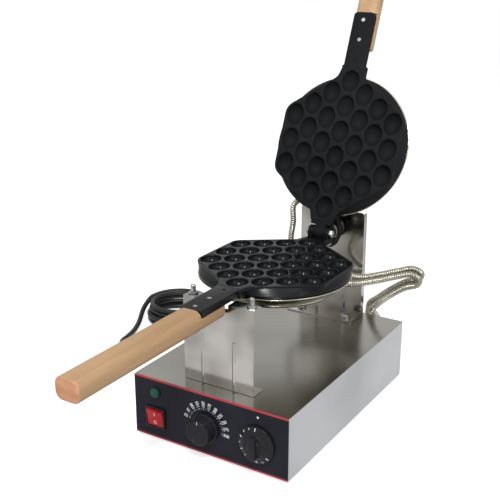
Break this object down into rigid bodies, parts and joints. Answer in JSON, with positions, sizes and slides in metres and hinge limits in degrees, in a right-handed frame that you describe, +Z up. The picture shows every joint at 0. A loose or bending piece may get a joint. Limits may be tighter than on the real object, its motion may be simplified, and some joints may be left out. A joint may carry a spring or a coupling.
{
  "type": "bubble waffle maker",
  "caption": "Countertop bubble waffle maker: egg-cell moulds that open on a rear hinge and turn on a shaft, held between two steel brackets on a control box.",
  "frame": {"origin": "on the worktop under the middle of the machine, its supply cord left out", "axes": "+X is the right of the control panel seen from the front, +Y goes to the back, +Z is up"},
  "size_m": [0.5462, 0.8232, 0.7723],
  "materials": {
    "brushed_shell": "brushed stainless sheet",
    "polished_steel": "bright stainless sheet and hose",
    "plated_steel": "zinc plated",
    "coated_casting": "black non-stick coating on a casting",
    "bearing_iron": "black painted casting",
    "bush_metal": "sintered bronze",
    "element_sheath": "dark oxidised steel",
    "panel_paint": "blue black paint with two pale red printed lines",
    "black_plastic": "moulded",
    "green_lens": "tinted clear plastic",
    "red_rocker": "tinted clear plastic",
    "cream_moulding": "heat resistant moulding",
    "wood": "lightly oiled",
    "rubber": "matt",
    "cord_sheath": "satin"
  },
  "bodies": {
    "base": {"base_shell": "brushed_shell", "bearing_bolt_lower": "plated_steel", "bearing_bolt_upper": "plated_steel", "bearing_bush": "bush_metal", "bearing_housing": "bearing_iron", "bottom_plate": "plated_steel", "column_bolt_left": "plated_steel", "column_bolt_right": "plated_steel", "conduit_gland_left": "plated_steel", "conduit_gland_right": "plated_steel", "control_panel": "panel_paint", "cord_coil": "cord_sheath", "cord_gland": "rubber", "cord_tail": "cord_sheath", "front_bracket": "polished_steel", "front_bracket_screw_left": "plated_steel", "front_bracket_screw_right": "plated_steel", "lamp_bezel": "black_plastic", "lamp_lens": "green_lens", "lower_conduit": "polished_steel", "power_cord": "cord_sheath", "power_plug": "cord_sheath", "rear_column": "polished_steel", "rest_pin_left": "plated_steel", "rest_pin_right": "plated_steel", "rubber_foot_1": "rubber", "rubber_foot_2": "rubber", "rubber_foot_3": "rubber", "rubber_foot_4": "rubber", "switch_housing": "black_plastic", "terminal_block": "cream_moulding", "thermostat_unit": "plated_steel", "timer_unit": "cream_moulding", "upper_conduit": "polished_steel"},
    "mould_frame": {"turning_shaft": "plated_steel", "shaft_washer": "plated_steel", "shaft_nut": "plated_steel", "lower_mould": "coated_casting", "hinge_pin": "plated_steel", "lower_cover": "polished_steel", "lower_cover_screw": "plated_steel", "lower_heating_element": "element_sheath", "lower_gland": "plated_steel", "lower_handle": "wood", "lower_outer_rivet": "plated_steel", "lower_inner_rivet": "plated_steel"},
    "lid": {"upper_cover": "polished_steel", "upper_cover_screw": "plated_steel", "upper_gland": "plated_steel", "upper_handle": "wood", "upper_heating_element": "element_sheath", "upper_inner_rivet": "plated_steel", "upper_mould": "coated_casting", "upper_outer_rivet": "plated_steel"},
    "thermostat_dial": {"thermostat_knob": "black_plastic", "thermostat_spindle": "plated_steel"},
    "timer_dial": {"timer_knob": "black_plastic", "timer_spindle": "plated_steel"},
    "power_rocker": {"switch_rocker": "red_rocker"}
  },
  "joints": [
    {"name": "mould_turn", "type": "hinge", "parent": "base", "child": "mould_frame", "pos_m": [-0.01838, 0.20635, 0.234], "axis": [0, 1, 0], "range_deg": [-10, 10], "deforming": ["lower_conduit", "upper_conduit"]},
    {"name": "lid_hinge", "type": "hinge", "parent": "mould_frame", "child": "lid", "pos_m": [-0.01838, 0.16535, 0.24], "axis": [1, 0, 0], "range_deg": [0, 113], "deforming": ["upper_conduit"]},
    {"name": "thermostat_turn", "type": "hinge", "parent": "base", "child": "thermostat_dial", "pos_m": [-0.02238, -0.15065, 0.046], "axis": [0, 1, 0], "range_deg": [0, 290]},
    {"name": "timer_turn", "type": "hinge", "parent": "base", "child": "timer_dial", "pos_m": [0.05962, -0.15065, 0.046], "axis": [0, 1, 0], "range_deg": [0, 320]},
    {"name": "power_rock", "type": "hinge", "parent": "base", "child": "power_rocker", "pos_m": [-0.10738, -0.14985, 0.0365], "axis": [1, 0, 0], "range_deg": [-16, 0]}
  ]
}
